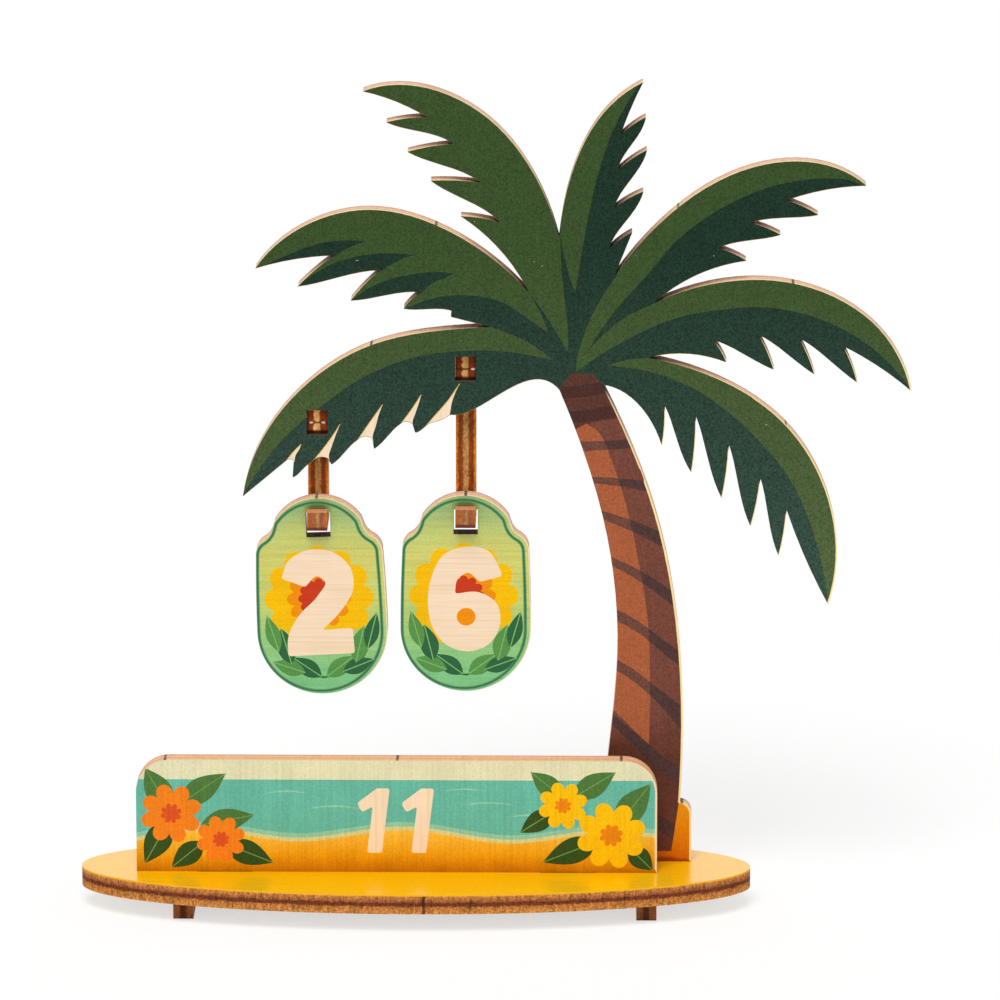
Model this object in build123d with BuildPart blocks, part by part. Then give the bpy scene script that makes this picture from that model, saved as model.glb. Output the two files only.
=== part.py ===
"""Plywood desk calendar: an oval base on two runners, a flat palm tree, hooked number tags and a month board.

Every piece is cut from one sheet thickness. X runs along the base, Y from front to back, Z up.
The origin is the middle of the bounding box, on the table. Sizes are in millimetres.
"""

import os
from collections import namedtuple

from build123d import *

os.makedirs("parts", exist_ok=True)

# Sheet and fits
PLY = 3.0
GLUE_FIT = 0.05
SLIP_FIT = 0.15

# Base and its runners
BASE_LENGTH = 100.0
BASE_DEPTH = 30.0
FOOT_HEIGHT = 3.0
FOOT_INSET = 15.55
FOOT_FRONT = -8.5
FOOT_BACK = 9.5
FOOT_TAB_FRONT = -3.2
FOOT_TAB_LENGTH = 4.4
FOOT_CORNER = 0.6

# Month board
BOARD_INSET = 11.2
BOARD_HEIGHT = 17.3
BOARD_CORNER = 5.0
BOARD_OFFSET = -2.8
BOARD_FRONT = -3.5
BOARD_TAB_LENGTH = 8.0
BOARD_TAB_INSET = 0.5
BOARD_TAB_DEPTH = 2.8

# Palm panel
PANEL_GAP = 3.0
PLINTH_INSET = 16.8
CROWN_LEAN = -7.7
TRUNK_HEIGHT = 84.5
PLINTH_WIDTH = 16.0
PLINTH_HEIGHT = 9.05
PLINTH_CORNER = 1.8
PANEL_TAB_LENGTH = 4.4
PANEL_TAB_SPACING = 8.8

# Number tags
TAG_WIDTH = 19.4
TAG_HEIGHT = 30.0
TAG_GAP = 2.55
TAG_TAPER = 0.3
DOME_WIDTH = 12.8
DOME_RISE = 3.4
NECK_FLARE = 0.35
NECK_HEIGHT = 1.1
STEP_WIDTH = 1.25
STEP_HEIGHT = 1.6
SHOULDER_HEIGHT = 2.2
TAG_HOLE_WIDTH = 3.6
TAG_HOLE_HEIGHT = 3.8
TAG_HOLE_DROP = 2.1

# Hooks
HOOK_TAB_HEIGHT = 3.7
HOOK_TAB_RECESS = 1.0
HOOK_BAR_WIDTH = 4.0
HOOK_BAR_RISE = 1.5
HOOK_CORNER = 1.2
PRONG_HEIGHT = 2.1
PRONG_REACH = 5.3
LIP_HEIGHT = 0.9
LIP_LENGTH = 1.2
LEFT_HOOK_DROP = 11.9
RIGHT_HOOK_DROP = 19.6
TAG_BACK_GAP = 0.6
HANG_GAP = 0.3
TENS_TILT = 2.0
UNITS_TILT = 0.0

# Hook holes in the lower left frond, from the crown's middle
LEFT_HOLE_X = -40.0
LEFT_HOLE_BOTTOM = -18.9
RIGHT_HOLE_BOTTOM = -10.7

# Where neighbouring fronds meet and where the trunk joins them, from the crown's middle
MEET_LOWER_LEFT = (-14.4, -2.4)
MEET_UPPER_LEFT = (-8.7, 2.8)
MEET_TOP = (-4.3, 11.1)
MEET_UPPER_RIGHT = (3.9, 5.4)
MEET_MIDDLE_RIGHT = (9.7, 1.3)
MEET_LOWER_RIGHT = (8.9, -7.0)
TRUNK_TOP_LEFT = (-4.2, -11.9)
TRUNK_TOP_RIGHT = (2.2, -11.1)

# Fronds, from the crown's middle and from the tip inwards. The smooth edge is a curve through its points.
# The saw edge runs along the tip's underside, then through a notch and a tooth at a time, then to its root.
# A notch with two points has an arched floor between them, as high as a share of its width.
# Teeth bow outwards on their backs. Their fronts swell out near the tip and are hollow near the next notch.
# The side is 1 where the outside lies to the left on the way inwards and -1 where it lies to the right.
Frond = namedtuple("Frond", "tip smooth smooth_root under teeth root saw_root side swell hollow")
BACK_BOW = 0.18
FLOOR_ARCH = 0.2
SWELL_PLACE = 0.3
HOLLOW_PLACE = 0.8

LOWER_LEFT = Frond(
    tip=(-51.1, -28.3),
    smooth=[(-48.7, -20.6), (-41.7, -11.3), (-32.0, -5.2), (-20.2, -2.8)],
    smooth_root=MEET_LOWER_LEFT,
    under=[],
    teeth=[
        [(-44.6, -22.8), (-43.5, -22.8), (-43.7, -25.4)],
        [(-40.8, -23.0), (-38.4, -22.5), (-37.9, -23.4)],
        [(-34.0, -19.6), (-31.9, -19.4), (-31.6, -21.0)],
        [(-27.6, -17.1), (-25.9, -17.2), (-25.5, -18.5)],
        [(-22.9, -16.9), (-20.3, -15.7)],
    ],
    root=[(-12.4, -12.2), (-6.5, -10.4)],
    saw_root=TRUNK_TOP_LEFT,
    side=-1,
    swell=0.1,
    hollow=0.1,
)
MIDDLE_LEFT = Frond(
    tip=(-49.0, 6.3),
    smooth=[(-43.2, 11.9), (-32.5, 15.2), (-22.3, 12.9)],
    smooth_root=MEET_UPPER_LEFT,
    under=[(-43.3, 7.7)],
    teeth=[
        [(-37.4, 8.3), (-42.8, 3.6)],
        [(-30.6, 6.1), (-35.0, 1.5)],
        [(-24.7, 2.8), (-27.2, 0.3)],
        [(-19.7, -0.1), (-20.2, -0.9)],
    ],
    root=[],
    saw_root=MEET_LOWER_LEFT,
    side=-1,
    swell=0.0,
    hollow=0.27,
)
UPPER_LEFT = Frond(
    tip=(-33.1, 32.9),
    smooth=[(-27.9, 33.9), (-15.6, 29.6), (-8.0, 20.6)],
    smooth_root=MEET_TOP,
    under=[(-27.3, 31.0)],
    teeth=[
        [(-23.7, 29.1), (-29.7, 28.3)],
        [(-19.8, 25.1), (-26.6, 23.9)],
        [(-15.8, 19.3), (-23.2, 19.6)],
        [(-13.0, 13.4), (-18.8, 14.3)],
    ],
    root=[(-13.4, 9.7)],
    saw_root=MEET_UPPER_LEFT,
    side=-1,
    swell=0.0,
    hollow=0.37,
)
UPRIGHT = Frond(
    tip=(8.0, 34.4),
    smooth=[(1.6, 29.0), (-2.7, 19.8)],
    smooth_root=MEET_TOP,
    under=[(5.6, 29.0)],
    teeth=[
        [(4.7, 26.5), (8.4, 29.2)],
        [(4.3, 21.3), (8.6, 24.3)],
        [(3.8, 15.6), (8.1, 18.1)],
        [(3.0, 9.4), (6.5, 12.0)],
    ],
    root=[],
    saw_root=MEET_UPPER_RIGHT,
    side=1,
    swell=0.3,
    hollow=0.2,
)
UPPER_RIGHT = Frond(
    tip=(40.8, 19.0),
    smooth=[(34.8, 22.1), (25.6, 22.1), (13.2, 15.7)],
    smooth_root=MEET_UPPER_RIGHT,
    under=[(35.5, 18.5)],
    teeth=[
        [(29.1, 16.8), (33.8, 14.6)],
        [(23.8, 13.4), (28.3, 11.6)],
        [(19.1, 9.6), (23.3, 7.7)],
    ],
    root=[(15.7, 5.4)],
    saw_root=MEET_MIDDLE_RIGHT,
    side=1,
    swell=0.0,
    hollow=0.25,
)
MIDDLE_RIGHT = Frond(
    tip=(47.8, -12.0),
    smooth=[(40.8, -0.6), (30.2, 4.3), (20.0, 4.5)],
    smooth_root=MEET_MIDDLE_RIGHT,
    under=[(43.0, -8.3)],
    teeth=[
        [(37.7, -5.2), (39.8, -10.7)],
        [(31.2, -4.0), (33.5, -9.5)],
        [(25.2, -3.5), (27.5, -8.8)],
        [(18.5, -4.3), (20.5, -7.7)],
    ],
    root=[(15.8, -6.5)],
    saw_root=MEET_LOWER_RIGHT,
    side=1,
    swell=0.0,
    hollow=0.2,
)
LOWER_RIGHT = Frond(
    tip=(35.8, -44.6),
    smooth=[(36.45, -31.0), (29.1, -16.9), (18.3, -9.8)],
    smooth_root=MEET_LOWER_RIGHT,
    under=[(32.35, -37.5)],
    teeth=[
        [(29.5, -30.1), (28.4, -37.2)],
        [(25.6, -25.3), (24.2, -32.7)],
        [(20.9, -20.2), (19.9, -28.4)],
        [(16.0, -15.9), (15.4, -24.5)],
        [(11.4, -14.3), (11.0, -20.5)],
    ],
    root=[(6.5, -13.1), (4.1, -11.6)],
    saw_root=TRUNK_TOP_RIGHT,
    side=1,
    swell=0.3,
    hollow=0.03,
)
FRONDS = [LOWER_LEFT, MIDDLE_LEFT, UPPER_LEFT, UPRIGHT, UPPER_RIGHT, MIDDLE_RIGHT, LOWER_RIGHT]

# The trunk's edges, as x from the crown's middle and share of the trunk's height
TRUNK_LEFT = [(2.3, 0.08), (3.2, 0.196), (4.5, 0.374), (3.05, 0.588), (-0.6, 0.748)]
TRUNK_RIGHT = [(6.3, 0.764), (9.8, 0.651), (13.65, 0.417), (14.35, 0.268), (13.8, 0.08)]

# Positions that follow from the sizes above
CROWN_OFFSET = BASE_LENGTH / 2 - PLINTH_INSET + CROWN_LEAN
BASE_X = -(CROWN_OFFSET + MIDDLE_RIGHT.tip[0] - BASE_LENGTH / 2) / 2
FOOT_SPACING = BASE_LENGTH - 2 * FOOT_INSET
BOARD_TAB_SPACING = FOOT_SPACING - PLY - BOARD_TAB_LENGTH - 2 * (BOARD_TAB_INSET + abs(BOARD_OFFSET))
BASE_BOTTOM = FOOT_HEIGHT
BASE_TOP = BASE_BOTTOM + PLY
BOARD_X = BASE_X + BOARD_OFFSET
BOARD_LENGTH = BASE_LENGTH - 2 * BOARD_INSET
PANEL_FRONT = BOARD_FRONT + PLY + PANEL_GAP
PANEL_BACK = PANEL_FRONT + PLY
CROWN_X = BASE_X + CROWN_OFFSET
CROWN_Z = BASE_TOP + TRUNK_HEIGHT
PLINTH_X = BASE_X + BASE_LENGTH / 2 - PLINTH_INSET
LEFT_HOOK_X = CROWN_X + LEFT_HOLE_X
RIGHT_HOOK_X = LEFT_HOOK_X + TAG_WIDTH + TAG_GAP
LEFT_HOLE_Z = CROWN_Z + LEFT_HOLE_BOTTOM
RIGHT_HOLE_Z = CROWN_Z + RIGHT_HOLE_BOTTOM
HOLE_WIDTH = PLY + 2 * GLUE_FIT
HOLE_HEIGHT = HOOK_TAB_HEIGHT + 2 * GLUE_FIT
TAG_BACK = PANEL_BACK - TAG_BACK_GAP


def upright_plane(x, y, z, tilt=0):
    """A plane that faces the front, its own x to the right or tilted up; extrusions come forwards."""
    return Plane(origin=(x, y, z), x_dir=Vector(1, 0, 0).rotate(Axis.Y, -tilt), z_dir=(0, -1, 0))


def side_plane(x):
    """A plane across the base, its own x to the back and its own y up; extrusions go to the right."""
    return Plane(origin=(x - PLY / 2, 0, 0), x_dir=(0, 1, 0), z_dir=(1, 0, 0))


def pair(middle, spacing, y):
    """Two places, one on each side of a middle."""
    return Locations((middle - spacing / 2, y), (middle + spacing / 2, y))


# Base: an oval with slots for the board, the panel and the feet
with BuildPart() as base_board:
    with BuildSketch(Plane.XY.offset(BASE_BOTTOM)):
        with Locations((BASE_X, 0)):
            Ellipse(BASE_LENGTH / 2, BASE_DEPTH / 2)
        with pair(BOARD_X, BOARD_TAB_SPACING, BOARD_FRONT + PLY / 2):
            Rectangle(BOARD_TAB_LENGTH + 2 * SLIP_FIT, PLY + 2 * SLIP_FIT, mode=Mode.SUBTRACT)
        with pair(PLINTH_X, PANEL_TAB_SPACING, PANEL_FRONT + PLY / 2):
            Rectangle(PANEL_TAB_LENGTH + 2 * GLUE_FIT, PLY + 2 * GLUE_FIT, mode=Mode.SUBTRACT)
        with pair(BASE_X, FOOT_SPACING, FOOT_TAB_FRONT + FOOT_TAB_LENGTH / 2):
            Rectangle(PLY + 2 * GLUE_FIT, FOOT_TAB_LENGTH + 2 * GLUE_FIT, mode=Mode.SUBTRACT)
    extrude(amount=PLY)


def foot_profile():
    """A runner under the base with one tab up into it."""
    with Locations(((FOOT_FRONT + FOOT_BACK) / 2, FOOT_HEIGHT / 2)):
        runner = Rectangle(FOOT_BACK - FOOT_FRONT, FOOT_HEIGHT)
    fillet(runner.vertices().group_by(Axis.Y)[0], FOOT_CORNER)
    with Locations((FOOT_TAB_FRONT + FOOT_TAB_LENGTH / 2, FOOT_HEIGHT + PLY / 2)):
        Rectangle(FOOT_TAB_LENGTH, PLY)


with BuildPart() as left_foot:
    with BuildSketch(side_plane(BASE_X - FOOT_SPACING / 2)):
        foot_profile()
    extrude(amount=PLY)

with BuildPart() as right_foot:
    with BuildSketch(side_plane(BASE_X + FOOT_SPACING / 2)):
        foot_profile()
    extrude(amount=PLY)


def trunk_points(shares):
    """Points of a trunk edge, from the crown's middle."""
    return [(x, (share - 1) * TRUNK_HEIGHT) for x, share in shares]


def notch_edges(points, side):
    """A notch's arched floor, where it has one, and the back of its tooth, straight over a floor."""
    *floor_start, back_start, tooth = points
    for start in floor_start:
        width = (Vector(*back_start) - Vector(*start)).length
        SagittaArc(start, back_start, FLOOR_ARCH * width)
    if floor_start:
        Line(back_start, tooth)
    else:
        SagittaArc(back_start, tooth, side * BACK_BOW)


def front_edge(tooth, notch, frond):
    """The front of a tooth, from its tip to the next notch."""
    start = Vector(*tooth)
    along = Vector(*notch) - start
    outwards = Vector(-along.Y, along.X).normalized() * frond.side
    swell = start + along * SWELL_PLACE + outwards * frond.swell
    hollow = start + along * HOLLOW_PLACE - outwards * frond.hollow
    Spline(tooth, swell, hollow, notch)


# Palm panel: crown and trunk in one outline, then the plinth, its tabs and the hook holes
with BuildPart() as palm_panel:
    with BuildSketch(upright_plane(CROWN_X, PANEL_BACK, CROWN_Z)):
        with BuildLine():
            for frond in FRONDS:
                Spline(frond.tip, *frond.smooth, frond.smooth_root)
                Spline(frond.tip, *frond.under, frond.teeth[0][0])
                for points in frond.teeth:
                    notch_edges(points, frond.side)
                for points, next_points in zip(frond.teeth, frond.teeth[1:]):
                    front_edge(points[-1], next_points[0], frond)
                Spline(frond.teeth[-1][1], *frond.root, frond.saw_root)
            right_edge = trunk_points(TRUNK_RIGHT)
            left_edge = trunk_points(TRUNK_LEFT)
            Spline(TRUNK_TOP_RIGHT, *right_edge)
            Line(right_edge[-1], left_edge[0])
            Spline(*left_edge, TRUNK_TOP_LEFT)
        make_face()
    extrude(amount=PLY)
    with BuildSketch(upright_plane(PLINTH_X, PANEL_BACK, BASE_TOP)):
        with Locations((0, PLINTH_HEIGHT / 2)):
            plinth = Rectangle(PLINTH_WIDTH, PLINTH_HEIGHT)
        fillet(plinth.vertices().group_by(Axis.Y)[-1], PLINTH_CORNER)
        with pair(0, PANEL_TAB_SPACING, -PLY / 2):
            Rectangle(PANEL_TAB_LENGTH, PLY)
    extrude(amount=PLY)
    with BuildSketch(upright_plane(0, PANEL_BACK, 0)):
        with Locations((LEFT_HOOK_X, LEFT_HOLE_Z), (RIGHT_HOOK_X, RIGHT_HOLE_Z)):
            Rectangle(HOLE_WIDTH, HOLE_HEIGHT, align=(Align.CENTER, Align.MIN))
    extrude(amount=PLY, mode=Mode.SUBTRACT)


def hook_points(hole_z, drop):
    """Upper tab in the frond's hole, bar down the back, and a prong to the front with an upturned end."""
    tab_bottom = hole_z + GLUE_FIT
    tab_top = tab_bottom + HOOK_TAB_HEIGHT
    tab_end = PANEL_FRONT + HOOK_TAB_RECESS
    bar_top = tab_top + HOOK_BAR_RISE
    bar_back = PANEL_BACK + HOOK_BAR_WIDTH
    prong_top = hole_z - drop
    prong_bottom = prong_top - PRONG_HEIGHT
    prong_end = PANEL_BACK - PRONG_REACH
    lip_back = prong_end + LIP_LENGTH
    lip_top = prong_top + LIP_HEIGHT
    return [
        *[(tab_end, tab_bottom), (tab_end, tab_top), (PANEL_BACK, tab_top)],
        *[(PANEL_BACK, bar_top), (bar_back, bar_top)],
        *[(bar_back, prong_bottom), (prong_end, prong_bottom)],
        *[(prong_end, lip_top), (lip_back, lip_top), (lip_back, prong_top)],
        *[(PANEL_BACK, prong_top), (PANEL_BACK, tab_bottom)],
    ]


with BuildPart() as left_hook:
    with BuildSketch(side_plane(LEFT_HOOK_X)):
        with BuildLine():
            Polyline(*hook_points(LEFT_HOLE_Z, LEFT_HOOK_DROP), close=True)
        make_face()
    extrude(amount=PLY)
    fillet(left_hook.edges().filter_by(Axis.X).group_by(Axis.Y)[-1], HOOK_CORNER)

with BuildPart() as right_hook:
    with BuildSketch(side_plane(RIGHT_HOOK_X)):
        with BuildLine():
            Polyline(*hook_points(RIGHT_HOLE_Z, RIGHT_HOOK_DROP), close=True)
        make_face()
    extrude(amount=PLY)
    fillet(right_hook.edges().filter_by(Axis.X).group_by(Axis.Y)[-1], HOOK_CORNER)

# Tag: a domed head that steps out to tapered sides over a half round, drawn from the top of its hole
HALF_TAG = TAG_WIDTH / 2
TAG_TOP = (0, TAG_HOLE_DROP)
TAG_BOTTOM = (0, TAG_HOLE_DROP - TAG_HEIGHT)
DOME = (DOME_WIDTH / 2, TAG_HOLE_DROP - DOME_RISE)
NECK = (DOME[0] + NECK_FLARE, DOME[1] - NECK_HEIGHT)
STEP = (NECK[0] + STEP_WIDTH, NECK[1] - STEP_HEIGHT)
SIDE_TOP = (HALF_TAG - TAG_TAPER, STEP[1] - SHOULDER_HEIGHT)
SIDE_BOTTOM = (HALF_TAG, TAG_BOTTOM[1] + HALF_TAG)
with BuildSketch() as tag_shape:
    with BuildLine():
        TangentArc(TAG_TOP, DOME, tangent=(1, 0))
        Line(DOME, NECK)
        TangentArc(NECK, STEP, tangent=(NECK_FLARE, -NECK_HEIGHT))
        side = TangentArc(SIDE_BOTTOM, SIDE_TOP, tangent=(0, 1))
        TangentArc(SIDE_TOP, STEP, tangent=side % 1)
        RadiusArc(SIDE_BOTTOM, TAG_BOTTOM, HALF_TAG)
        mirror(about=Plane.YZ)
    make_face()
    with Locations((0, -TAG_HOLE_HEIGHT / 2)):
        Rectangle(TAG_HOLE_WIDTH, TAG_HOLE_HEIGHT, mode=Mode.SUBTRACT)


def tag_plane(hook_x, hole_z, drop, tilt):
    """Where a tag hangs: the top of its hole just over the prong, tilted as it happens to hang."""
    return upright_plane(hook_x, TAG_BACK, hole_z - drop + HANG_GAP, tilt)


with BuildPart() as tens_tag:
    with BuildSketch(tag_plane(LEFT_HOOK_X, LEFT_HOLE_Z, LEFT_HOOK_DROP, TENS_TILT)):
        add(tag_shape.sketch)
    extrude(amount=PLY)

with BuildPart() as units_tag:
    with BuildSketch(tag_plane(RIGHT_HOOK_X, RIGHT_HOLE_Z, RIGHT_HOOK_DROP, UNITS_TILT)):
        add(tag_shape.sketch)
    extrude(amount=PLY)

# Month board: rounded at the top, with two tabs below
with BuildPart() as month_board:
    with BuildSketch(upright_plane(BOARD_X, BOARD_FRONT + PLY, BASE_TOP)):
        with Locations((0, BOARD_HEIGHT / 2)):
            board = Rectangle(BOARD_LENGTH, BOARD_HEIGHT)
        fillet(board.vertices().group_by(Axis.Y)[-1], BOARD_CORNER)
        with pair(0, BOARD_TAB_SPACING, -BOARD_TAB_DEPTH / 2):
            Rectangle(BOARD_TAB_LENGTH, BOARD_TAB_DEPTH)
    extrude(amount=PLY)

pieces = {
    "base_board": base_board,
    "left_foot": left_foot,
    "right_foot": right_foot,
    "palm_panel": palm_panel,
    "left_hook": left_hook,
    "right_hook": right_hook,
    "tens_tag": tens_tag,
    "units_tag": units_tag,
    "month_board": month_board,
}
for piece_name, piece in pieces.items():
    piece.part.label = piece_name
    export_step(piece.part, f"parts/{piece_name}.step")
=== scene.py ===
"""Looks of the desk calendar: satin print, bare veneer and laser-cut plywood edges."""
import math

import bpy
from mathutils import Matrix, Vector
from mathutils.geometry import delaunay_2d_cdt


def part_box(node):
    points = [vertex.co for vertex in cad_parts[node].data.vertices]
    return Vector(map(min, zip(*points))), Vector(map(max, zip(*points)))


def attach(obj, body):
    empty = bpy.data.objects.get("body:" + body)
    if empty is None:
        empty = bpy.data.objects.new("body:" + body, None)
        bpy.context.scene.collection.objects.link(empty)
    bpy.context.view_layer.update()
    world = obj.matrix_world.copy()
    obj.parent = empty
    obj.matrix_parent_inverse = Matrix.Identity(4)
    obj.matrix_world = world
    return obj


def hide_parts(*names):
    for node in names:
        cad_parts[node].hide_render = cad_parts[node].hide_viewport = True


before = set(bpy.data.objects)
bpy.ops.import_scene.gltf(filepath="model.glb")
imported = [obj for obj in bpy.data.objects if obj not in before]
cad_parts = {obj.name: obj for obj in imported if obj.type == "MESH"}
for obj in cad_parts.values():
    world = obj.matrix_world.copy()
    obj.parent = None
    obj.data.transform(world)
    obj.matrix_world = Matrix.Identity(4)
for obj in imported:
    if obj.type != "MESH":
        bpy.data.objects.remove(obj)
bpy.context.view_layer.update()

PER_METRE = 1000.0

# Places in mm that the drawings start from, as x and z of the row frame
CROWN = (13.85, 90.5)
TENS_HOLE = (-26.15, 60.0)
UNITS_HOLE = (-4.2, 60.5)
TENS_TILT = 2.0
BASE_TOP = 6.0
OVER_BASE = 6.1
LOW_HEIGHTS = (BASE_TOP, 15.0)
BOARD_CORNER = (-53.25, BASE_TOP)
BOARD_LENGTH = 77.6

# Outlines, in mm and radians
CURVE_STEP = 0.4
OUTLINE_STEP = 0.7
TOUCH = 0.02
SHARP_CORNER = 0.7
SHARP_TURN = 0.5
EASE_STEPS = (0.0, 0.25, 0.5, 0.75, 1.0)
PETAL_ROUNDNESS = 0.55
LEAF_STEPS = 14
LEAF_FULLNESS = 0.85


def new_object(name, data):
    """A new object in the scene."""
    made = bpy.data.objects.new(name, data)
    bpy.context.collection.objects.link(made)
    return made


def linear(colour):
    """A screen colour, 0 to 255, as the scene's linear colour."""
    parts = [c / 255 for c in colour]
    return [p / 12.92 if p < 0.04045 else ((p + 0.055) / 1.055) ** 2.4 for p in parts] + [1.0]


# Drawing

def direction(before, here, after):
    """Direction of a smooth curve at the middle one of three points."""
    back = (here - before).length
    ahead = (after - here).length
    if back == 0:
        return (after - here) / ahead
    if ahead == 0:
        return (here - before) / back
    return ((here - before) * ahead / back + (after - here) * back / ahead) / (back + ahead)


def smooth_run(points):
    """Points along a smooth curve through the given ones, without the last."""
    out = []
    last = len(points) - 1
    for i in range(last):
        start = points[i]
        end = points[i + 1]
        length = (end - start).length
        leave = direction(points[max(i - 1, 0)], start, end) * length
        arrive = direction(start, end, points[min(i + 2, last)]) * length
        steps = max(1, round(length / CURVE_STEP)) if last > 1 else 1
        for k in range(steps):
            t = k / steps
            out.append(
                start * (2 * t**3 - 3 * t**2 + 1) + leave * (t**3 - 2 * t**2 + t)
                + end * (3 * t**2 - 2 * t**3) + arrive * (t**3 - t**2)
            )
    return out


def closed(*runs):
    """A closed outline of smooth runs. Each goes on from the end of the one before."""
    outline = []
    end = None
    for run in runs:
        points = [Vector(p) for p in run]
        if end is not None and end != points[0]:
            points.insert(0, end)
        outline += smooth_run(points)
        end = points[-1]
    if (end - outline[0]).length > TOUCH:
        outline.append(end)
    return outline


def corners(*points):
    """A closed outline with straight sides."""
    return [Vector(p) for p in points]


def stripe(upper, lower):
    """A stripe between two smooth lines that run the same way."""
    return closed(upper, [lower[-1]], lower[::-1][1:])


def eased(outline, radius):
    """An outline with its sharp corners rounded off."""
    count = len(outline)
    sharp = []
    for i, here in enumerate(outline):
        if (here - outline[i - 1]).angle(outline[(i + 1) % count] - here) > SHARP_CORNER:
            sharp.append(i)

    def beside(corner, step):
        """A place one radius before or after a corner."""
        other = corner
        while (outline[other % count] - outline[corner]).length < radius:
            other += step
        return outline[corner] + (outline[other % count] - outline[corner]).normalized() * radius

    out = []
    for i, here in enumerate(outline):
        if i in sharp:
            start = beside(i, -1)
            end = beside(i, 1)
            for t in EASE_STEPS:
                out.append(start.lerp(here, t).lerp(here.lerp(end, t), t))
        elif all((here - outline[k]).length > radius for k in sharp):
            out.append(here)
    return out


def ribbon(run, width):
    """A narrow stripe along a smooth line."""
    points = smooth_run([Vector(p) for p in run]) + [Vector(run[-1])]
    left = []
    right = []
    for i, point in enumerate(points):
        along = points[min(i + 1, len(points) - 1)] - points[max(i - 1, 0)]
        side = along.orthogonal().normalized() * width / 2
        left.append(point + side)
        right.append(point - side)
    return left + right[::-1]


def ellipse(centre, radius_x, radius_z, count=36):
    """A closed oval."""
    turns = [2 * math.pi * i / count for i in range(count)]
    return [Vector((centre[0] + radius_x * math.cos(a), centre[1] + radius_z * math.sin(a))) for a in turns]


def rosette(centre, inner, outer, petals, turn=0.0, count=180):
    """A plain round flower of equal petals."""
    out = []
    for i in range(count):
        angle = 2 * math.pi * i / count
        swell = abs(math.cos(petals * angle / 2)) ** PETAL_ROUNDNESS
        radius = inner + (outer - inner) * swell
        x = centre[0] + radius * math.cos(angle + turn)
        z = centre[1] + radius * math.sin(angle + turn)
        out.append(Vector((x, z)))
    return out


def leaf(root, tip, width):
    """A plain pointed leaf."""
    root = Vector(root)
    along = Vector(tip) - root
    side = along.orthogonal().normalized() * width / 2
    steps = [i / LEAF_STEPS for i in range(LEAF_STEPS + 1)]
    swell = [math.sin(math.pi * t**LEAF_FULLNESS) for t in steps]
    upper = [root + along * t + side * s for t, s in zip(steps, swell)]
    lower = [root + along * t - side * s for t, s in zip(steps, swell)]
    return upper + lower[-2:0:-1]


def placed(outline, origin, turn=0.0):
    """An outline drawn from its own origin, moved to a place in the row frame."""
    turned = Matrix.Rotation(math.radians(turn), 2)
    return [Vector(origin) + turned @ point for point in outline]


def inset(loop, distance):
    """A loop moved towards its left side."""
    out = []
    for i, point in enumerate(loop):
        along = loop[(i + 1) % len(loop)] - loop[i - 1]
        out.append(point + along.orthogonal().normalized() * distance)
    return out


# Materials

# Usual range of noise values
NOISE_RANGE = (0.3, 0.7)
NOISE_ROUGHNESS = 0.6
SEED_SHIFT = (1.0, 1.7, 2.3)
SCORCH_AND_SHADE = "scorch_and_shade"


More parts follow.
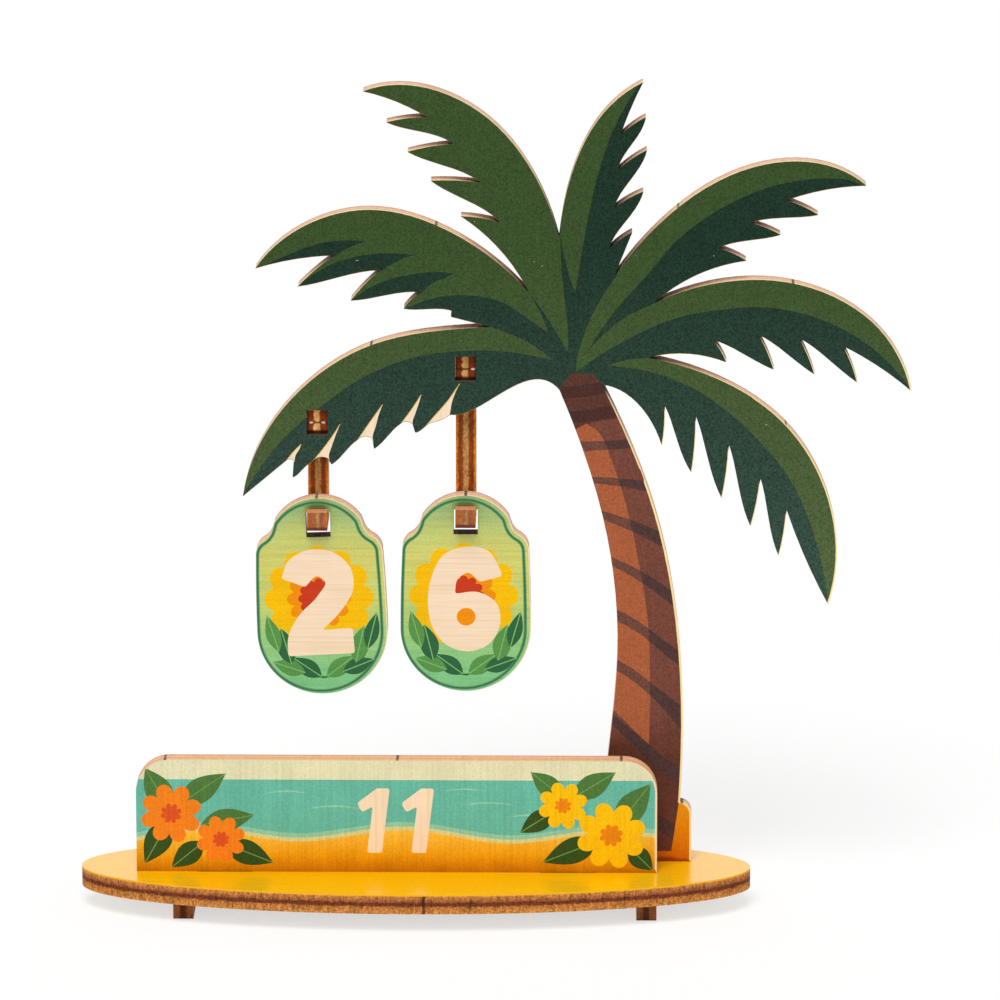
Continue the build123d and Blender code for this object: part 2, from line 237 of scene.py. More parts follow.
class Look:
    """A material under construction. Places are in mm from the row frame's origin and move with the piece."""

    def __init__(self, name, specular):
        self.material = bpy.data.materials.new(name)
        self.material.use_nodes = True
        self.tree = self.material.node_tree
        self.surface = self.tree.nodes["Principled BSDF"]
        self.surface.inputs["Specular IOR Level"].default_value = specular
        coordinates = self.add("TexCoord")
        self.facing = coordinates.outputs["Normal"]
        self.place = self.math("MULTIPLY", coordinates.outputs["Object"], [PER_METRE] * 3, kind="VectorMath")

    def add(self, kind, values=None, **settings):
        """A new node. Sockets among the values are linked, the rest are set."""
        node = self.tree.nodes.new("ShaderNode" + kind)
        for key, value in settings.items():
            setattr(node, key, value)
        for key, value in (values or {}).items():
            if isinstance(value, bpy.types.NodeSocket):
                self.tree.links.new(value, node.inputs[key])
            else:
                node.inputs[key].default_value = value
        return node

    def math(self, operation, *values, kind="Math"):
        """The result of a math node."""
        return self.add(kind, dict(enumerate(values)), operation=operation).outputs[0]

    def times(self, first, second):
        """A product of values."""
        return self.math("MULTIPLY", first, second)

    def away(self, x, z, flatness=1.0):
        """The distance from a place seen from the front, where heights count for more by a flatness."""
        flat = self.math("MULTIPLY", self.place, (1.0, 0.0, flatness), kind="VectorMath")
        values = {0: flat, 1: (x, 0.0, z * flatness)}
        return self.add("VectorMath", values, operation="DISTANCE").outputs["Value"]

    def along(self, axis, vector=None):
        """X, Y or Z of a vector, or else of the place."""
        return self.add("SeparateXYZ", {0: vector or self.place}).outputs[axis]

    def scorch_and_shade(self):
        """How scorched a printed board is, with painted shade on the walls of its holes."""
        return self.add("Attribute", attribute_name=SCORCH_AND_SHADE).outputs["Fac"]

    def noise(self, density, seed=0, detail=2):
        """Noise with so many features per mm, alike all ways or given for x, y and z."""
        if isinstance(density, float):
            density = [density] * 3
        shift = [seed * s for s in SEED_SHIFT]
        place = self.math("MULTIPLY_ADD", self.place, density, shift, kind="VectorMath")
        values = {"Vector": place, "Scale": 1.0, "Detail": detail, "Roughness": NOISE_ROUGHNESS}
        return self.add("TexNoise", values).outputs[0]

    def spread(self, value, low, high, to_low=0.0, to_high=1.0):
        """A value's range stretched to another range."""
        values = {"Value": value, "From Min": low, "From Max": high, "To Min": to_low, "To Max": to_high}
        return self.add("MapRange", values).outputs[0]

    def vary(self, noise, low, high):
        """Noise stretched to a range."""
        return self.spread(noise, *NOISE_RANGE, low, high)

    def ramp(self, value, stops):
        """A colour by stops, each a value and a screen colour."""
        node = self.add("ValToRGB", {"Fac": value})
        elements = node.color_ramp.elements
        for element, (position, colour) in zip(elements, (stops[0], stops[-1])):
            element.position = position
            element.color = linear(colour)
        for position, colour in stops[1:-1]:
            elements.new(position).color = linear(colour)
        return node.outputs[0]

    def mix(self, share, first, second, blend="MIX"):
        """Two colours, each from a node or a screen colour, mixed by the share of the second."""
        first, second = (linear(c) if isinstance(c, tuple) else c for c in (first, second))
        values = {0: share, 6: first, 7: second}
        return self.add("Mix", values, data_type="RGBA", blend_type=blend).outputs[2]

    def shaded(self, colour, value):
        """A colour times a value."""
        return self.mix(1.0, colour, value, "MULTIPLY")

    def toned(self, colour, value, tone):
        """A colour turned to a tone by a value. A tone is a screen colour and the range of its share."""
        ink, *limits = tone
        return self.mix(self.spread(value, *limits), colour, ink)

    def flecked(self, colour, noise, amount):
        """A colour made lighter and darker by noise."""
        return self.shaded(colour, self.vary(noise, 1 - amount, 1 + amount))

    def done(self, colour, roughness, height, relief):
        """Links colour, roughness and a relief in mm, and gives the material."""
        bump = self.add("Bump", {"Height": height, "Strength": 1.0, "Distance": relief / PER_METRE})
        self.tree.links.new(colour, self.surface.inputs["Base Color"])
        self.tree.links.new(roughness, self.surface.inputs["Roughness"])
        self.tree.links.new(bump.outputs[0], self.surface.inputs["Normal"])
        return self.material


def span(node, axis):
    """A CAD node's reach along x, y or z, in mm."""
    return [getattr(corner, axis) * PER_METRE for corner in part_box(node)]


# Noise densities are in features per mm, reliefs in mm, and colours on a screen from 0 to 255
# A range or fade gives two values and what they are stretched to
GRAIN_ALONG = 0.05
GRAIN_ACROSS = 2.4


def grain_density(axis):
    """Noise density of wood grain that runs along an axis."""
    return [GRAIN_ALONG if a == axis else GRAIN_ACROSS for a in "XYZ"]


BARE = (247, 221, 190)
PRINT_SPECULAR = 0.1
INK_ROUGHNESS = (0.38, 0.52)
INK_RELIEF = 0.012
INK_DOTS = 4.2
DOT_RELIEF = 0.5
INK_BLOTCHES = 0.22
BLOTCH_AMOUNT = 0.04
INK_WANDER = 0.03
INK_PINHOLES = 1.9
PINHOLE = (BARE, 0.81, 0.84, 0.0, 0.5)
# Smoke above a tag's hole, with the painted shadow of the hook's prong on the tag
SMOKE_AND_SHADOW = ((92, 100, 44), 1.0, 2.3, 0.8, 0.0)
SMOKE_AND_SHADOW_RISE = 0.6
SMOKE_AND_SHADOW_FLATNESS = 1.6


def print_look(name, ink, grain, heights=(0.0, 1.0), speckle=0.11, streak=0.06, pinholes=False, smoke_and_shadow=None):
    """Satin ink on veneer: fine speckle, grain showing through, a few pinholes.

    The ink is one colour, or stops between two heights. Smoke and a painted shadow of a hook's prong can
    darken it about a place.
    """
    look = Look(name, PRINT_SPECULAR)
    dots = look.noise(INK_DOTS, seed=3)
    streaks = look.noise(grain_density(grain), seed=9, detail=3)
    blotches = look.noise(INK_BLOTCHES, seed=5)
    if isinstance(ink, list):
        height = look.spread(look.along("Z"), *heights)
        colour = look.ramp(look.math("ADD", height, look.vary(blotches, -INK_WANDER, INK_WANDER)), ink)
    else:
        colour = ink
    for noise, amount in ((dots, speckle), (streaks, streak), (blotches, BLOTCH_AMOUNT)):
        colour = look.flecked(colour, noise, amount)
    if pinholes:
        holes = look.noise(INK_PINHOLES, seed=21, detail=1)
        colour = look.toned(colour, holes, PINHOLE)
    if smoke_and_shadow:
        away = look.away(smoke_and_shadow[0], smoke_and_shadow[1] + SMOKE_AND_SHADOW_RISE, SMOKE_AND_SHADOW_FLATNESS)
        colour = look.toned(colour, away, SMOKE_AND_SHADOW)
    height = look.math("ADD", streaks, look.times(dots, DOT_RELIEF))
    return look.done(colour, look.vary(streaks, *INK_ROUGHNESS), height, INK_RELIEF)


def plain_inks(piece, colours, grain, **settings):
    """A piece's plain inks by name."""
    return {key: print_look(f"{piece}_{key}_print", ink, grain, **settings) for key, ink in colours.items()}


BARE_STREAK = ((240, 207, 164), 0.48, 0.72, 0.0, 0.75)
BARE_SPECULAR = 0.2
BARE_ROUGHNESS = (0.5, 0.66)
BARE_RELIEF = 0.02
FIBRE_FINENESS = 1.6
FIBRE_TONES = (0.95, 1.04)
BARE_CLOUDS = 0.12
CLOUD_AMOUNT = 0.03


def bare_look(name, grain):
    """Bare veneer: pale wood with thin darker streaks along the grain."""
    look = Look(name, BARE_SPECULAR)
    density = grain_density(grain)
    streaks = look.noise(density, seed=13, detail=4)
    fibres = look.noise([d * FIBRE_FINENESS for d in density], seed=17)
    clouds = look.noise(BARE_CLOUDS, seed=2)
    wood = look.toned(BARE, streaks, BARE_STREAK)
    wood = look.shaded(wood, look.vary(fibres, *FIBRE_TONES))
    wood = look.flecked(wood, clouds, CLOUD_AMOUNT)
    return look.done(wood, look.vary(fibres, *BARE_ROUGHNESS), look.math("ADD", streaks, fibres), BARE_RELIEF)


CHAR = (64, 30, 14)
PLY_RAGGEDNESS = 1.1
PLY_WANDER = 0.04
BURNT_STREAKS = (0.42, 0.68)
EDGE_PATCHES = 0.5
BURNT_PATCHES = (0.35, 0.65, 0.3, 1.0)
FINE_SPECKS = 3.0


def cut_edge(look, axis, ends, layers, density, burn, speckle):
    """Colour and streaks of a laser-cut edge: plies along an axis, streaks of the cut, burn and specks."""
    ragged = look.noise(PLY_RAGGEDNESS, seed=31, detail=3)
    depth = look.spread(look.along(axis), *ends)
    depth = look.math("ADD", depth, look.vary(ragged, -PLY_WANDER, PLY_WANDER))
    streaks = look.noise(density, seed=41, detail=5)
    patches = look.noise(EDGE_PATCHES, seed=47, detail=3)
    burnt = look.times(look.spread(streaks, *BURNT_STREAKS), look.spread(patches, *BURNT_PATCHES))
    colour = look.mix(look.times(burnt, burn), look.ramp(depth, layers), CHAR)
    return look.flecked(colour, look.noise(FINE_SPECKS, seed=61), speckle), streaks


UPRIGHT_LAYERS = [
    (0.0, (246, 220, 160)), (0.14, (245, 218, 170)), (0.3, (240, 204, 168)), (0.38, (216, 168, 138)),
    (0.5, (236, 198, 164)), (0.66, (238, 202, 172)), (0.74, (208, 156, 130)), (0.86, (228, 184, 160)),
    (1.0, (202, 150, 128)),
]
# Density of the streaks, burn and speckle
UPRIGHT_CUT = ((2.2, 0.25, 2.2), 0.12, 0.1)
STRIP_CUT = ((2.6, 0.8, 0.6), 0.75, 0.3)
BASE_CUT = ((3.2, 3.2, 0.6), 0.75, 0.52)
EDGE_SPECULAR = 0.15
EDGE_ROUGHNESS = (0.55, 0.75)
EDGE_RELIEF = 0.03
NOTCH_BROWN = ((132, 84, 66), 0.0, 0.8, 0.0, 0.9)
NOTCH_PATCHES = 0.9
BROWN_PATCHES = (0.25, 0.6, 0.7, 1.0)
# Near-black of charred notches, also used as painted shade on the walls of holes
CHAR_AND_HOLE_SHADE = ((46, 28, 24), 0.82, 0.93)
CHAR_AND_HOLE_SHADE_SHARE = 0.95
NICK = (66, 56, 58)
NICK_FADE = (0.17, 0.255, 0.9, 0.0)
NICK_PATCHES = (0.3, 0.5, 0.5, 1.0)


def upright_edge(name, node, nicks, layers=UPRIGHT_LAYERS):
    """Cut edge of an upright printed board: scorched darker in its notches, painted shade on the walls of its
    holes, with nicks where the laser started.
    """
    look = Look(name, EDGE_SPECULAR)
    colour, streaks = cut_edge(look, "Y", span(node, "y"), layers, *UPRIGHT_CUT)
    scorch_and_shade = look.scorch_and_shade()
    patches = look.noise(NOTCH_PATCHES, seed=53)
    brown = look.times(scorch_and_shade, look.spread(patches, *BROWN_PATCHES))
    colour = look.toned(colour, brown, NOTCH_BROWN)
    colour = look.toned(colour, scorch_and_shade, (*CHAR_AND_HOLE_SHADE, 0.0, CHAR_AND_HOLE_SHADE_SHARE))
    patchy = look.spread(patches, *NICK_PATCHES)
    for nick in nicks:
        share = look.times(look.spread(look.away(*nick), *NICK_FADE), patchy)
        colour = look.mix(share, colour, NICK)
    return look.done(colour, look.vary(streaks, *EDGE_ROUGHNESS), streaks, EDGE_RELIEF)


# Printed boards

FACES_FRONT = -0.99
SAME_PLACE = 1e-5
CUT_TOLERANCE = 1e-4
# Value that the walls of holes get: painted shade inside the holes
HOLE_SHADE = 0.9
SMOOTH_BELOW = math.radians(30)


def outer_sides(polygons):
    """The sides that only one of the polygons has, in its own direction."""
    sides = {side for p in polygons for side in zip(p, p[1:] + p[:1])}
    return {(start, end) for start, end in sides if (end, start) not in sides}


def front_loops(node):
    """The loops round the flat front of a CAD node, in mm, with the material on their left side."""
    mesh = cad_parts[node].data
    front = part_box(node)[0].y
    key = {v.index: (round(v.co.x * PER_METRE, 4), round(v.co.z * PER_METRE, 4)) for v in mesh.vertices}
    faces = []
    for face in mesh.polygons:
        if face.normal.y < FACES_FRONT and abs(face.center.y - front) < SAME_PLACE:
            faces.append([key[i] for i in face.vertices])
    following = dict(outer_sides(faces))
    loops = []
    while following:
        start, here = next(iter(sorted(following.items())))
        loop = []
        while here in following:
            loop.append(Vector(here))
            here = following.pop(here)
        loops.append(loop)
    return sorted(loops, key=len, reverse=True)


def divided(loop):
    """A loop with points no further apart than the outline step."""
    out = []
    for start, end in zip(loop, loop[1:] + loop[:1]):
        steps = max(1, math.ceil((end - start).length / OUTLINE_STEP))
        out += [start.lerp(end, k / steps) for k in range(steps)]
    return out


def turned_left(loop):
    """A loop in the order that keeps its inside on the left."""
    area = sum(a.cross(b) for a, b in zip(loop, loop[1:] + loop[:1]))
    return loop if area > 0 else loop[::-1]


def ink_shown(layers, bare):
    """What shows where inks lie over each other. A see-through ink lists what it turns inks below it into."""
    shown = bare
    for look in layers:
        shown = look.get(shown, shown) if isinstance(look, dict) else look
    return shown


def printed_board(name, node, body, prints, edge, bare, margin, tip_ease=0.0, notches=()):
    """A board like its CAD node, with the prints cut into its front in painting order, as one closed mesh.

    The first print limits all the others. The margin shows where it falls short of the board's edge. Each
    notch is a place and how far the scorch on the cut edge reaches from it.
    """
    loops = front_loops(node)
    if tip_ease:
        loops[0] = eased(loops[0], tip_ease)
    loops = [divided(loop) for loop in loops]
    shapes = [turned_left(shape) for shape in loops + [outline for outline, look in prints]]
    points = []
    faces = []
    for shape in shapes:
        faces.append(list(range(len(points), len(points) + len(shape))))
        points += shape
    flat, _, triangles, _, _, sources = delaunay_2d_cdt(points, [], faces, 1, CUT_TOLERANCE, True)
    materials = [edge, bare]
    kept = []
    for triangle, inside in zip(triangles, sources):
        if 0 not in inside or any(i in inside for i in range(1, len(loops))):
            continue
        layers = [prints[i - len(loops)][1] for i in sorted(inside) if i >= len(loops)]
        look = ink_shown(layers, bare) if len(loops) in inside else margin
        if look not in materials:
            materials.append(look)
        kept.append((tuple(triangle), materials.index(look)))
    count = len(flat)
    vertices = [(p.x / PER_METRE, corner.y, p.y / PER_METRE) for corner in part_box(node) for p in flat]
    polygons = []
    slots = []
    for (a, b, c), index in kept:
        polygons += [(a, b, c), (c + count, b + count, a + count)]
        slots += [index, 1]
    for a, b in sorted(outer_sides([triangle for triangle, index in kept])):
        polygons.append((b, a, a + count, b + count))
        slots.append(0)
    used = sorted({i for polygon in polygons for i in polygon})
    renumber = {old: new for new, old in enumerate(used)}
    mesh = bpy.data.meshes.new(name)
    mesh.from_pydata([vertices[i] for i in used], [], [[renumber[i] for i in p] for p in polygons])
    for look in materials:
        mesh.materials.append(look)
    mesh.polygons.foreach_set("material_index", slots)
    scorch_and_shade = mesh.attributes.new(SCORCH_AND_SHADE, "FLOAT", "POINT")
    for i, old in enumerate(used):
        here = flat[old % count]
        burn = max((1 - (here - notch).length / reach for notch, reach in notches), default=0.0)
        in_hole = any((here - point).length < TOUCH for loop in loops[1:] for point in loop)
        # Hole walls get the painted shade, notches their scorch
        scorch_and_shade.data[i].value = HOLE_SHADE if in_hole else max(0.0, burn)
    mesh.shade_smooth()
    mesh.set_sharp_from_angle(angle=SMOOTH_BELOW)
    mesh.update()
    piece = new_object(name, mesh)
    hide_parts(node)
    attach(piece, body)


# Palm tree, drawn from the crown's middle

TRUNK_GAP = 0.3
LEAF_GAP = 0.22
TOOTH_GAP = 0.12
LOWER_GAP = 0.07
TIP_EASE = 0.2
FROND_ROOTS = 15.5
FROND_SCORCH = 12.0
TOOTH_SCORCH = 5.0
LEAF_HEIGHTS = (45.0, 125.0)
# Both leaf inks run paler towards the crown's foot: painted light from the floor below
LEAF_DARK_STOPS = [(0.0, (54, 77, 66)), (0.68, (24, 49, 35))]
LEAF_LIGHT_STOPS = [(0.0, (80, 97, 58)), (0.68, (55, 77, 38))]
TRUNK_HEIGHTS = (BASE_TOP, 72.0)
# The trunk's dark ink is darker low down: painted shade behind the month board
TRUNK_STOPS = [(0.05, (102, 56, 44)), (0.18, (94, 52, 38)), (0.24, (94, 52, 38)), (0.36, (116, 67, 54))]
TRUNK_LIGHT = (168, 92, 56)
TRUNK_INKS = {
    "cap": (88, 52, 42), "cap_band": (72, 42, 36), "band_light": (108, 68, 55), "band_dark": (78, 53, 50),
}
# Darkest at its foot, where the plinth meets the base, as painted shade; paler upwards
PLINTH_STOPS = [(0.03, (150, 58, 0)), (0.09, (206, 104, 0)), (0.12, (206, 104, 0)), (1.0, (238, 152, 0))]
LEAF_LIGHTS = [
    ([(-51.2, -28.2), (-49.2, -25), (-45.5, -20), (-39.9, -14.9), (-32.5, -9.7), (-25.1, -6.9),
      (-17.8, -6), (-10.4, -6.3), (-5.1, -7.4)],
     [(-7.4, -5.6), (-9.3, -4.4), (-11.1, -3.6), (-14.2, -2.4)],
     [(-17, -2.2), (-20.2, -1.9), (-32, -3.5), (-42.5, -9.5), (-50, -19.5), (-54, -28)]),
    ([(-27.2, 0.3), (-22.5, 2), (-18.1, 2.4), (-13, 1.5), (-8.7, -1.2), (-5.9, -3.3), (-2.9, -6.2)],
     [(-2.9, -4.3), (-3.4, 1.3), (-3.9, 6), (-4.1, 11.1)],
     [(-5, 20), (-11, 29), (-20, 35), (-30, 37)], [(-54, 30)], [(-54, 0)], [(-30, -1.5)]),
    ([(7.9, 34.8), (6.4, 32.5), (3.3, 26.5), (1.2, 19.8), (-0.5, 11.5), (-1.9, 2.8)],
     [(-2.7, 5.1), (-3.4, 7.7), (-4.1, 11.1)], [(-4, 19.5), (0, 30), (7.5, 37)]),
    ([(40.7, 18.8), (37.9, 19.9), (35, 20.1), (27.7, 19.1), (20.4, 16.1), (13.1, 10.8), (8.4, 5.2),
      (4.2, 0.4), (1.4, -3.6), (-1.7, -9.1)],
     [(-1.7, -7.7), (-1, -4.9), (0.1, -1.7), (1.6, 1.4), (4.1, 5.4)],
     [(5.9, 8.6), (8, 12.3), (12.5, 18), (24, 24.5), (36, 24.5), (44, 19.5)]),
    ([(47.7, -11.7), (46, -9.5), (40.8, -4.6), (33.4, -0.8), (26, 0.7), (18.7, 0.2), (13.2, -0.9),
      (7.3, -3.4), (2.1, -6.4), (-1.7, -9.1)],
     [(0.2, -5.8), (2.5, -3.3), (5.6, -0.8), (9.9, 1.3)],
     [(15.3, 4.3), (20.3, 5.5), (31, 6), (42.8, 0.5), (50, -11)]),
    ([(35.8, -44.3), (35.3, -40.8), (33.7, -34.3), (30, -25.5), (24.3, -18.5), (16.9, -12.4),
      (9.5, -9.2), (2.9, -8.1)],
     [(5.8, -7.3), (9.1, -7)],
     [(13.3, -7.2), (18.3, -8.6), (20.8, -9.3), (30.8, -15.5), (38.8, -31), (38, -46)]),
]
LEAF_DARKS = [
    ([(-8.5, 2.6), (-6.9, 0.4), (-4.3, -3.8), (-2.9, -6.2)], [(-4.7, -4.6), (-5.9, -3.3)],
     [(-6.6, -1.1), (-7.4, 0.4), (-8.5, 2.6)]),
    ([(-49, 6.1), (-44.6, 8.2), (-38.7, 10.3), (-35.7, 10.6), (-32.5, 10.5)],
     [(-34.3, 9.9), (-35.7, 9.2), (-37.1, 8.3)], [(-41.7, 6.2)], [(-49.2, 5)]),
    ([(-42.8, 3.6), (-40.8, 5.2), (-37.2, 7.2), (-31.3, 8.6), (-25.5, 8.5)],
     [(-27.5, 7.8), (-29.3, 6.8), (-30.3, 6.1)], [(-34.7, 4.2)], [(-43.2, 2.7)]),
    ([(-35, 1.5), (-31.4, 3.9), (-25.5, 5.6), (-22.5, 5.9), (-19.6, 5.7)],
     [(-21.6, 4.8), (-23.4, 3.8), (-24.4, 2.8)], [(-26.7, 1.6)], [(-35.2, 0.6)]),
]
# Bare wedges over the lower left frond's notches: left side up, right side down, a place below the edge
WEDGES = [
    ([(-44.6, -22.8), (-43.5, -21.4), (-42.4, -20.3)],
     [(-42.7, -21.1), (-43.2, -21.9), (-43.4, -22.9)], (-44.4, -23.6)),
    ([(-40.8, -23), (-39.4, -21.3), (-37.8, -19.1), (-36.6, -17.2)],
     [(-37.2, -18.7), (-37.9, -20.7), (-38.3, -22.1), (-38.2, -22.8)], (-39.6, -24)),
    ([(-34, -19.6), (-32.2, -16.9), (-30.3, -14.2)],
     [(-30.8, -15.5), (-31.4, -17.7), (-31.8, -19.1), (-31.7, -20.1)], (-33, -20.8)),
    ([(-27.6, -17.1), (-26, -14.9), (-24.6, -12.7)],
     [(-24.9, -13.8), (-25.5, -15.6), (-25.9, -16.9), (-25.7, -17.9)], (-26.9, -18.4)),
    ([(-24.2, -17.8), (-22.8, -16.1), (-20.9, -13.9), (-18.9, -11)],
     [(-19.5, -12.2), (-20, -13.6), (-20.4, -15.7)], (-22.2, -17.6)),
]
WEDGE_RIM = (214, 186, 112)
WEDGE_RIM_WIDTH = 0.12
TRUNK_LEFT = [(1.5, -68), (3, -53), (1.5, -35), (-2.2, -22)]
TRUNK = closed(
    [(-4.6, -12), (-3.2, -10.4), (-2.4, -9.3)], [(0.9, -9.5)], [(1.5, -10.4), (2.6, -11.1)],
    [(4.5, -13.2), (8, -19.5), (12.4, -30), (16.4, -50), (17, -90)], [(-3, -90)],
    [*TRUNK_LEFT, (-4.4, -15), (-4.6, -12)],
)
TRUNK_LOWER = closed(
    [(-5, -20), (0.3, -17), (6, -16)], [(8, -19.5), (12.4, -30), (16.4, -50), (17, -90)],
    [(-3, -90)], [*TRUNK_LEFT, (-5, -20)],
)
TRUNK_SUNLIT = closed(
    [(-0.2, -17), (1.4, -18.1), (3.5, -22.5), (6, -30.5), (7.7, -38.7), (9, -46.8), (9.4, -56),
     (9.3, -66.3)],
    [(2, -60)], [*TRUNK_LEFT[1:], (-3.5, -18.8)],
)
CAP_BANDS = [
    ([(-3.9, -11.5), (-1, -11.2), (1.9, -10.6)], [(-4.6, -13.2), (-1, -13), (3.6, -12.2)]),
    ([(-5, -15.3), (0, -14.9), (5, -13.9)], [(-5, -17), (0, -16.7), (5, -15.7)]),
]
TRUNK_BANDS = [
    ([(-2.5, -19.8), (2.5, -19.6), (8, -19.1)], [(-2.5, -21.3), (2.5, -21), (8, -20.6)]),
    ([(-1, -25), (4.5, -25.3), (10, -25.9)], [(-1, -25.9), (4.5, -26.5), (10, -27.5)]),
    ([(0.5, -29.8), (6.3, -31.6), (12.5, -34.2)], [(0.5, -30.9), (6.3, -33.3), (12.5, -36.4)]),
    ([(1.5, -36.4), (8, -39.5), (14.5, -43.9)], [(1.5, -37.5), (8, -41.2), (14.5, -46.3)]),
    ([(2.5, -44.6), (6.1, -46.3), (11.7, -50.3), (15.3, -53.1)],
     [(2.5, -46.3), (7, -48.6), (12, -52.7), (15.3, -55.3)]),
    ([(2.8, -52.3), (6.1, -54.1), (10.9, -57.8), (15.8, -61.7)],
     [(2.8, -53.9), (6.4, -56.1), (11.5, -60.9), (15.8, -66.2)]),
    ([(2.2, -59.1), (5.5, -62.5), (11.5, -68.2), (15.8, -71.3)],
     [(2.2, -61.7), (5.9, -65.3), (10, -69.6), (15.8, -73.8)]),
    ([(1, -70.8), (6, -74.6), (10.7, -77.3), (16, -80)],
     [(1, -73), (6, -76.9), (10.7, -79.6), (16, -83.5)]),
]
PLINTH_FACE = corners(
    (13.9, -74.6), (18, -74.6), (18, -90), (-4, -90), (-4, -74.6), (2.3, -74.6), (1.9, -82.9), (12.7, -82.9),
)
PALM_NICKS = [
    (-8.5, 103.4), (-18.1, 85.3), (27, 106.2), (44, 94.8), (43.1, 73.4), (28.1, 15), (29.5, 6.4),
]

# Where the ink leaves which gap, from the crown's middle
TRUNK_RIGHT = 16.0
TRUNK_BELOW = -26.0
TEETH_LEFT = 8.0
TEETH_RIGHT = 42.0
TEETH_BELOW = -3.0
LOW_FROND_BELOW = -13.0
LOW_FROND_ROOT = (9.5, -9.2)
LOW_FROND_TIP = (35.8, -44.3)
GAP_ACROSS = (-6.0, 6.0)
GAP_DOWN = (2.0, -6.0)


def right_gap(x, z):
    """The gap that the ink leaves at right-hand edges, by place from the crown's middle."""
    if z < TRUNK_BELOW and x < TRUNK_RIGHT:
        return TRUNK_GAP
    middle = TEETH_RIGHT
    if z <= LOW_FROND_BELOW:
        along = (z - LOW_FROND_TIP[1]) / (LOW_FROND_ROOT[1] - LOW_FROND_TIP[1])
        middle = LOW_FROND_TIP[0] - (LOW_FROND_TIP[0] - LOW_FROND_ROOT[0]) * along**2
    if z < TEETH_BELOW and TEETH_LEFT < x < middle:
        return TOOTH_GAP
    return LEAF_GAP


def progress(value, start, end):
    """How far a value is on its way from a start to an end, 0 to 1."""
    return min(max((value - start) / (end - start), 0), 1)


def ink_edge(point):
    """A place on the tree's outline, moved in by the ink's gap at right and lower edges."""
    if point.y < OVER_BASE:
        return point
    x = point.x - CROWN[0]
    z = point.y - CROWN[1]
    return point + Vector((-right_gap(x, z) * progress(x, *GAP_ACROSS) * progress(z, *GAP_DOWN), LOWER_GAP))


INK_MARGIN = (253, 224, 162)
SCORCHED_MARGIN = (146, 104, 58)
CLEAN_ACROSS = (CROWN[0] - 2, CROWN[0] + 4)
CLEAN_UP = (CROWN[1] - 6, CROWN[1] + 2, 1.0, 0.0)
MARGIN_TONES = (0.92, 1.06)


def margin_look():
    """The veneer beside the tree's ink: clean to the right below the crown, scorched elsewhere."""
    look = Look("palm_ink_margin", PRINT_SPECULAR)
    right = look.spread(look.along("X"), *CLEAN_ACROSS)
    low = look.spread(look.along("Z"), *CLEAN_UP)
    grain = look.noise(grain_density("Z"), seed=13, detail=3)
    colour = look.mix(look.times(right, low), SCORCHED_MARGIN, INK_MARGIN)
    colour = look.shaded(colour, look.vary(grain, *MARGIN_TONES))
    colour = look.toned(colour, look.scorch_and_shade(), CHAR_AND_HOLE_SHADE)
    return look.done(colour, look.vary(grain, *BARE_ROUGHNESS), grain, BARE_RELIEF)


def scorched_notches():
    """The crown's notches, with the scorch reaching further between fronds than between teeth."""
    loop = front_loops("palm_panel")[0]
    found = []
    for i, point in enumerate(loop):
        into = point - loop[i - 1]
        out = loop[(i + 1) % len(loop)] - point
        turn = math.atan2(into.cross(out), into.dot(out))
        if turn < -SHARP_TURN and point.y > LEAF_HEIGHTS[0]:
            near_roots = (point - Vector(CROWN)).length < FROND_ROOTS
            found.append((point, FROND_SCORCH if near_roots else TOOTH_SCORCH))
    return found


def make_palm():
    """The tree: light and dark halves of the fronds, bare wedges, banded trunk and orange plinth."""
    dark = print_look("leaf_dark_print", LEAF_DARK_STOPS, "Z", LEAF_HEIGHTS, speckle=0.54, pinholes=True)
    light = print_look("leaf_light_print", LEAF_LIGHT_STOPS, "Z", LEAF_HEIGHTS, speckle=0.36, pinholes=True)
    trunk = plain_inks("trunk", TRUNK_INKS, "Z", speckle=0.32)
    trunk_light = print_look("trunk_light_print", TRUNK_LIGHT, "Z", speckle=0.22)
    trunk_dark = print_look("trunk_dark_print", TRUNK_STOPS, "Z", TRUNK_HEIGHTS, speckle=0.28)
    plinth = print_look("plinth_print", PLINTH_STOPS, "Z", LOW_HEIGHTS)
    bare = bare_look("palm_bare_veneer", "Z")
    rim = print_look("wedge_rim_print", WEDGE_RIM, "Z")
    margin = margin_look()
    edge = upright_edge("palm_cut_edge", "palm_panel", PALM_NICKS)
    cover = [ink_edge(point) for point in divided(eased(front_loops("palm_panel")[0], TIP_EASE))]
    drawn = [(closed(*runs), light) for runs in LEAF_LIGHTS]
    drawn += [(closed(*runs), dark) for runs in LEAF_DARKS]
    for left, right, below in WEDGES:
        drawn.append((closed(left, right, [below]), bare))
        drawn.append((ribbon(left, WEDGE_RIM_WIDTH), rim))
    drawn.append((TRUNK, trunk["cap"]))
    drawn += [(stripe(*lines), {trunk["cap"]: trunk["cap_band"]}) for lines in CAP_BANDS]
    drawn.append((TRUNK_LOWER, trunk_dark))
    drawn.append((TRUNK_SUNLIT, trunk_light))
    banded = {trunk_light: trunk["band_light"], trunk_dark: trunk["band_dark"]}
    drawn += [(stripe(*lines), banded) for lines in TRUNK_BANDS]
    drawn.append((PLINTH_FACE, plinth))
    prints = [(cover, dark)] + [(placed(outline, CROWN), look) for outline, look in drawn]
    printed_board(
        "palm_printed_panel", "palm_panel", "stand", prints, edge, bare, margin,
        TIP_EASE, scorched_notches(),
    )


make_palm()

# Number tags, drawn from the top of their holes

